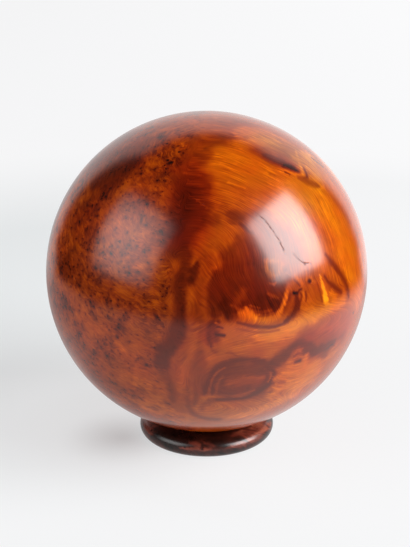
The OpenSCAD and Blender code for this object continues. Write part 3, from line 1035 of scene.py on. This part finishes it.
class StudioSettings(bpy.types.PropertyGroup):
    """The light, the floor and the camera."""

    camera_place: place_property("Camera", "Where the camera stands", (0, -0.56731, 0.27704))
    camera_aim: place_property("Aim", "What the camera looks at", (-0.0008, 0, 0.0806))
    lens: bpy.props.FloatProperty(name="Lens", description="Focal length in mm", default=83.9)
    key: bpy.props.FloatProperty(name="Key", description="Radiance of the key light", default=6.4)
    fill: bpy.props.FloatProperty(name="Fill", description="Radiance of the fill light", default=2.0)
    sky: bpy.props.FloatProperty(name="Sky", description="Light from all round", default=0.3)
    floor: colour_property("Floor", "Colour of the floor", 240, 247, 248)
    backdrop: colour_property("Backdrop", "Colour of the far floor", 247, 247, 248)


# --- Operators ---


def add_object(name, data):
    made = bpy.data.objects.new(name, data)
    bpy.context.scene.collection.objects.link(made)
    return made


def mesh_object(name, bm, material, layers=()):
    """Turns a bmesh into a smooth object at the origin with that material and point layers."""
    mesh = bpy.data.meshes.new(name)
    bm.to_mesh(mesh)
    bm.free()
    mesh.shade_smooth()
    mesh.materials.append(material)
    for layer_name, values in layers:
        layer = mesh.attributes.new(layer_name, "FLOAT", "POINT")
        layer.data.foreach_set("value", values.astype(np.float32))
    return add_object(name, mesh)


# How much of its gloss the wood loses for each millimetre of a hollow's depth.
PIT_PER_MM = 5


class BURL_OT_turn_ball(bpy.types.Operator):
    """Turn the ball and give it its figure, knots and cracks"""

    bl_idname = "burl.turn_ball"
    bl_label = "Turn the ball"

    def execute(self, context):
        settings = context.scene.burl_ball
        bm = bmesh.new()
        bmesh.ops.create_icosphere(bm, subdivisions=SPHERE_CUTS, radius=1)
        refine(bm, FIGURE)
        points = np.array([vert.co[:] for vert in bm.verts])
        tone, fray, growth, burl, depth = ball_figure(points)
        for vert, hollow in zip(bm.verts, depth):
            vert.co *= settings.radius - float(hollow) * MM
        bmesh.ops.translate(bm, verts=bm.verts, vec=BALL_CENTRE)
        layers = (
            ("tone", tone), ("fray", fray), ("growth", growth), ("burl", burl),
            ("ruddy", lay_shade(points, RUDDY)), ("pit", np.minimum(depth * PIT_PER_MM, 1)),
        )
        ball = mesh_object("burl_ball", bm, make_wood_material(settings), layers)
        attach(ball, "root")
        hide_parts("ball")
        return {"FINISHED"}


# How many steps the ring is turned in, and how many its section's arcs are drawn in.
RING_STEPS = 192
SHOULDER_STEPS = 24
BEAD_STEPS = 40
SEAT_STEPS = 8
# Corners that lie nearer to each other than this are one.
SAME_CORNER = 0.001 * MM
# The way that the ring's growth lines are stacked.
RING_GROWTH_WAY = (0.75, 0.35, 0.56)


def ring_section(bm, settings):
    """Draws the ring's section in the XZ plane, from the seat round the outside to the hole."""
    bead_r, hole_r = settings.bead_radius, settings.hole_radius
    seat_r = BALL_RADIUS + settings.seat_gap
    bead_x, bead_z = RING_RADIUS - bead_r, bead_r * (1 - settings.foot_cut)
    edge_x = math.sqrt(seat_r**2 - (BALL_CENTRE.z - RING_HEIGHT) ** 2)
    crest_x = edge_x + settings.crest_land
    run, rise = bead_x - crest_x, RING_HEIGHT - bead_z
    # Where the bead's top stands higher than the crest, the shoulder is hollow and bend is -1
    bend = math.copysign(1, rise - bead_r)
    over_bead = max(abs(rise - bead_r), SAME_CORNER)
    shoulder_r = (run**2 + rise**2 - bead_r**2) / (2 * bend * over_bead)
    shoulder_end = math.atan2(bend * (shoulder_r - rise), bend * run)
    foot_end = -math.asin(bead_z / bead_r)
    pen = bm.verts.new((crest_x, 0, RING_HEIGHT))

    def arc(pen, centre_x, centre_z, angle, steps):
        drawn = bmesh.ops.spin(
            bm, geom=[pen], cent=(centre_x, 0, centre_z), axis=(0, 1, 0), angle=-angle,
            steps=steps, use_duplicate=False, use_merge=False,
        )
        return drawn["geom_last"][0]

    def line(pen, x, z):
        corner = bm.verts.new((x, 0, z))
        bm.edges.new((pen, corner))
        return corner

    pen = arc(pen, crest_x, RING_HEIGHT - shoulder_r, shoulder_end - math.pi / 2, SHOULDER_STEPS)
    pen = arc(pen, bead_x, bead_z, foot_end - shoulder_end, BEAD_STEPS)
    pen = line(pen, hole_r + settings.hole_bevel, 0)
    pen = line(pen, hole_r, settings.hole_bevel)
    pen = line(pen, hole_r, BALL_CENTRE.z - math.sqrt(seat_r**2 - hole_r**2))
    turn = math.asin(edge_x / seat_r) - math.asin(hole_r / seat_r)
    pen = arc(pen, 0, BALL_CENTRE.z, turn, SEAT_STEPS)
    line(pen, crest_x, RING_HEIGHT)


class BURL_OT_turn_ring(bpy.types.Operator):
    """Turn the ring stand: a rounded bead, a sloping shoulder and a seat hollowed to fit the ball"""

    bl_idname = "burl.turn_ring"
    bl_label = "Turn the ring"

    def execute(self, context):
        settings = context.scene.burl_ring
        bm = bmesh.new()
        ring_section(bm, settings)
        bmesh.ops.remove_doubles(bm, verts=bm.verts, dist=SAME_CORNER)
        bmesh.ops.spin(
            bm, geom=bm.verts[:] + bm.edges[:], cent=(0, 0, 0), axis=(0, 0, 1), angle=math.tau,
            steps=RING_STEPS, use_merge=True, use_duplicate=False,
        )
        bmesh.ops.remove_doubles(bm, verts=bm.verts, dist=SAME_CORNER)
        bmesh.ops.recalc_face_normals(bm, faces=bm.faces)
        places = np.array([vert.co[:] for vert in bm.verts])
        from_hole = np.hypot(places[:, 0], places[:, 1]) - settings.hole_radius
        turns = np.degrees(np.arctan2(places[:, 0], -places[:, 1]))
        heights = np.degrees(np.arctan2(places[:, 2], from_hole + 0.01 * MM))
        points = np.array([direction(turn, height) for turn, height in zip(turns, heights)])
        growth = places @ np.array(RING_GROWTH_WAY) / BALL_RADIUS * math.degrees(1)
        plain = np.full(len(points), RING_TONE)
        tone, fray, growth, _, _ = lay_marks(points, RING_FIGURE_AND_PAINTED_LIGHT, plain, growth, 0.0)
        layers = (("tone", tone), ("fray", fray), ("growth", growth))
        ring = mesh_object("turned_ring", bm, make_ring_material(settings), layers)
        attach(ring, "root")
        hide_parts("ring_stand")
        return {"FINISHED"}


# Spots on the table, in metres: the darkest place of the painted shadow beside the ring, and, for the
# painted reflection of the table in the polish, the middle of the table, its painted bright front and the
# ring's painted shadow on it.
SHADOW_SPOT = (-0.04, -0.01, 0)
TABLE_SPOT = (-0.07, 0, 0)
FRONT_SPOT = (0.01, -0.09, 0)
SHADE_SPOT = (-0.05, -0.03, 0)
# The way in which the painted reflection of the table grows dimmer.
DIM_WAY = (-0.63, 0.78, 0)
# How far the floor reaches on each side, in metres.
FLOOR_SIZE = 6


def painted_floor_light(graph, place, parts, radius):
    """How much painted pale light the floor shows over its lit shading: most to the right, in front and far
    away, and least beside the ring, which paints the shadow there deeper.
    """
    right = graph.rise(parts["X"], -0.06, 0.04)
    ahead = graph.rise(parts["Y"], -0.10, -0.035, 1, 0)
    # Painted shade: less painted light round the spot beside the ring, so the shadow there shows darker
    gap = graph.distance(place, SHADOW_SPOT)
    by_ring = graph.rise(gap, -0.01, 0.035, 0.20, 0.64)
    by_ring = graph.product(by_ring, graph.rise(gap, 0.06, 0.12, 1, 0.8))
    near = graph.rise(graph.maths("MAXIMUM", right, ahead), 0, 1, by_ring, 0.87, "LINEAR")
    return graph.maths("MAXIMUM", near, graph.rise(radius, 0.10, 0.60))


def painted_table_reflection(graph, place, parts, radius):
    """How bright the floor glows for the polish to mirror: a painted reflection of the pale table and, past
    it, the wall, with painted light and shade on the table.
    """
    behind = graph.maths("MAXIMUM", parts["Y"], 0.0)
    key_side = graph.total((behind, -0.45), (parts["Y"], -0.15), (parts["X"], 1.0))
    front = graph.rise(graph.distance(place, FRONT_SPOT), 0.04, 0.14, 0.26, 0)
    dim_side = graph.vector("DOT_PRODUCT", place, DIM_WAY)
    table = graph.product(
        graph.rise(graph.distance(place, TABLE_SPOT), 0.27, 0.44, 1, 0),
        graph.maths("ADD", front, graph.rise(key_side, 0.02, 0.26, 0.70, 1.85)),
        graph.rise(dim_side, 0, 0.2, 1, 0.65),
        graph.rise(graph.distance(place, SHADE_SPOT), 0, 0.10, 0.50, 1),
    )
    left = graph.rise(radius, 0.4, 1.0, 1.02, 0.80)
    right = graph.rise(radius, 0.4, 1.0, 0.82, 0.73)
    wall = graph.product(wall_light(graph, parts, left, right), graph.rise(radius, 0.16, 0.34))
    return graph.maths("MAXIMUM", table, wall)


def wall_light(graph, parts, left, right):
    """How bright the polish mirrors the pale wall behind the ball, in each direction.

    left and right are how far round the wall reaches on each side.
    """
    turn = graph.maths("ARCTAN2", parts["X"], parts["Y"])
    aside = graph.maths("ABSOLUTE", graph.maths("SUBTRACT", turn, 0.04))
    on_right = graph.rise(turn, -0.1, 0.1)
    past = graph.maths("SUBTRACT", aside, graph.mix(on_right, left, right, "FLOAT"))
    edge = graph.rise(past, -0.09, 0.09, 0.92, 0)
    skirt = graph.product(graph.rise(aside, 0.7, 1.25, 0.04, 0), graph.rise(turn, -0.2, 0.2, 1, 0))
    low = graph.maths("MAXIMUM", graph.rise(parts["Z"], 0, 0.2, 0.82, 1), on_right)
    brighter = graph.rise(turn, -0.7, 0.7, 0.85, 1.5, "LINEAR")
    return graph.product(graph.maths("ADD", edge, skirt), low, brighter)


def set_floor(settings):
    bm = bmesh.new()
    bmesh.ops.create_grid(bm, x_segments=1, y_segments=1, size=FLOOR_SIZE)
    material = new_material("studio_floor")
    graph = Graph(material.node_tree)
    place = graph.place()
    parts = graph.parts(place)
    radius = graph.vector("LENGTH", place)
    lit = graph.node("ShaderNodeBsdfDiffuse", {"Color": linear(settings.floor)}).outputs[0]
    # Painted light: the floor's pale glow is a little brighter to the right, on the key light's side
    painted_light_rightwards = graph.rise(parts["X"], -0.3, 0.3, 0.975, 1.03, "LINEAR")
    pale = graph.light("ShaderNodeEmission", linear(settings.backdrop), painted_light_rightwards)
    # Painted light and shade: the floor's pale glow is mixed over its lit shading, by place
    seen = graph.mix_shader(painted_floor_light(graph, place, parts, radius), lit, pale)
    # Painted reflection: the floor glows only for the polish, as the table and the wall, with painted light
    # and shade
    strength = painted_table_reflection(graph, place, parts, radius)
    mirrored = graph.light("ShaderNodeEmission", WHITE, strength)
    glossy = graph.node("ShaderNodeLightPath").outputs["Is Glossy Ray"]
    both = graph.mix_shader(glossy, seen, mirrored)
    graph.node("ShaderNodeOutputMaterial", {"Surface": both})
    mesh_object("floor", bm, material)


def set_world(scene, settings):
    world = bpy.data.worlds.new("studio")
    world.use_nodes = True
    scene.world = world
    graph = Graph(world.node_tree)
    graph.tree.nodes.clear()
    parts = graph.parts(graph.place("Generated"))
    rays = graph.node("ShaderNodeLightPath").outputs
    slant = graph.rise(parts["Z"], 0.2, 0.55, 0.68, 0.78)
    wall = wall_light(graph, parts, 0.745, slant)
    wall = graph.product(wall, graph.rise(parts["Z"], 0.66, 0.80, 1, 0))
    room = graph.maths("MAXIMUM", wall, 0.015)
    fill = graph.light("ShaderNodeBackground", WHITE, settings.sky)
    mirrored = graph.light("ShaderNodeBackground", WHITE, room)
    seen = graph.light("ShaderNodeBackground", linear(settings.backdrop))
    unseen = graph.mix_shader(rays["Is Glossy Ray"], fill, mirrored)
    both = graph.mix_shader(rays["Is Camera Ray"], unseen, seen)
    graph.node("ShaderNodeOutputWorld", {"Surface": both})


def soft_box(name, place, size, radiance):
    """A rectangular lamp at (turn, height, distance), aimed at the ball."""
    data = bpy.data.lights.new(name, "AREA")
    data.shape = "RECTANGLE"
    data.size, data.size_y = size
    data.energy = radiance * math.pi * size[0] * size[1]
    lamp = add_object(name, data)
    turn, height, distance = place
    way = direction(turn, height)
    lamp.location = BALL_CENTRE + way * distance
    lamp.rotation_euler = way.to_track_quat("Z", "Y").to_euler()
    return lamp


# Where the soft border of a glint begins, as the square of the share of the way to its edge.
GLINT_BORDER = 0.74


def glint(name, place, size, radiance, edge):
    """A soft box that only the polish mirrors, dimmer by that share towards its edge."""
    lamp = soft_box(name, place, size, radiance)
    lamp.visible_diffuse = False
    lamp.data.use_nodes = True
    graph = Graph(lamp.data.node_tree)
    parts = graph.parts(graph.node("ShaderNodeNewGeometry").outputs["Parametric"])
    fall = 1.0
    for axis in ("X", "Y"):
        off = graph.maths("MULTIPLY_ADD", parts[axis], 2.0, -1.0)
        off = graph.product(off, off)
        fall = graph.product(fall, graph.maths("MULTIPLY_ADD", off, -edge, 1.0))
        fall = graph.product(fall, graph.rise(off, GLINT_BORDER, 1.0, 1, 0))
    graph.feed(graph.tree.nodes["Emission"].inputs["Strength"], fall)


def set_lights(settings):
    for lamp in (
        soft_box("key_light", place=(70, 30, 1.2), size=(0.9, 0.8), radiance=settings.key),
        soft_box("fill_light", place=(-65, 30, 1.2), size=(0.9, 0.9), radiance=settings.fill),
    ):
        lamp.visible_glossy = False
    glint("key_glint", place=(67.6, 28, 1.0), size=(0.87, 0.85), radiance=14.0, edge=0.28)
    glint("fill_glint", place=(-62.5, 28.3, 1.0), size=(1.02, 0.94), radiance=4.1, edge=0.80)


def set_camera(scene, settings):
    data = bpy.data.cameras.new("camera")
    data.lens, data.sensor_width = settings.lens, 36
    camera = add_object("camera", data)
    camera.location = settings.camera_place
    way = Vector(settings.camera_place) - Vector(settings.camera_aim)
    camera.rotation_euler = way.to_track_quat("Z", "Y").to_euler()
    scene.camera = camera


class BURL_OT_set_studio(bpy.types.Operator):
    """Set up the floor, the soft boxes and the camera"""

    bl_idname = "burl.set_studio"
    bl_label = "Set the studio"

    def execute(self, context):
        settings = context.scene.burl_studio
        set_floor(settings)
        set_world(context.scene, settings)
        set_lights(settings)
        set_camera(context.scene, settings)
        context.scene.view_settings.view_transform = "Standard"
        return {"FINISHED"}


class BURL_PT_maker(bpy.types.Panel):
    """Lists the makers of the ball, the ring and the studio"""

    bl_idname = "BURL_PT_maker"
    bl_label = "Burl Ball"
    bl_space_type = "VIEW_3D"
    bl_region_type = "UI"
    bl_category = "Burl Ball"

    def draw(self, context):
        scene = context.scene
        for operator, settings in (
            (BURL_OT_turn_ball, scene.burl_ball),
            (BURL_OT_turn_ring, scene.burl_ring),
            (BURL_OT_set_studio, scene.burl_studio),
        ):
            box = self.layout.box()
            box.operator(operator.bl_idname)
            for name in settings.__annotations__:
                box.prop(settings, name)


SETTINGS = {"burl_ball": BurlBallSettings, "burl_ring": RingStandSettings, "burl_studio": StudioSettings}
CLASSES = tuple(SETTINGS.values()) + (
    BURL_OT_turn_ball, BURL_OT_turn_ring, BURL_OT_set_studio, BURL_PT_maker
)


def register():
    for cls in CLASSES:
        bpy.utils.register_class(cls)
    for name, cls in SETTINGS.items():
        setattr(bpy.types.Scene, name, bpy.props.PointerProperty(type=cls))


def unregister():
    for name in SETTINGS:
        delattr(bpy.types.Scene, name)
    for cls in reversed(CLASSES):
        bpy.utils.unregister_class(cls)


def main():
    register()
    bpy.ops.burl.turn_ball()
    bpy.ops.burl.turn_ring()
    bpy.ops.burl.set_studio()


if __name__ == "__main__":
    main()
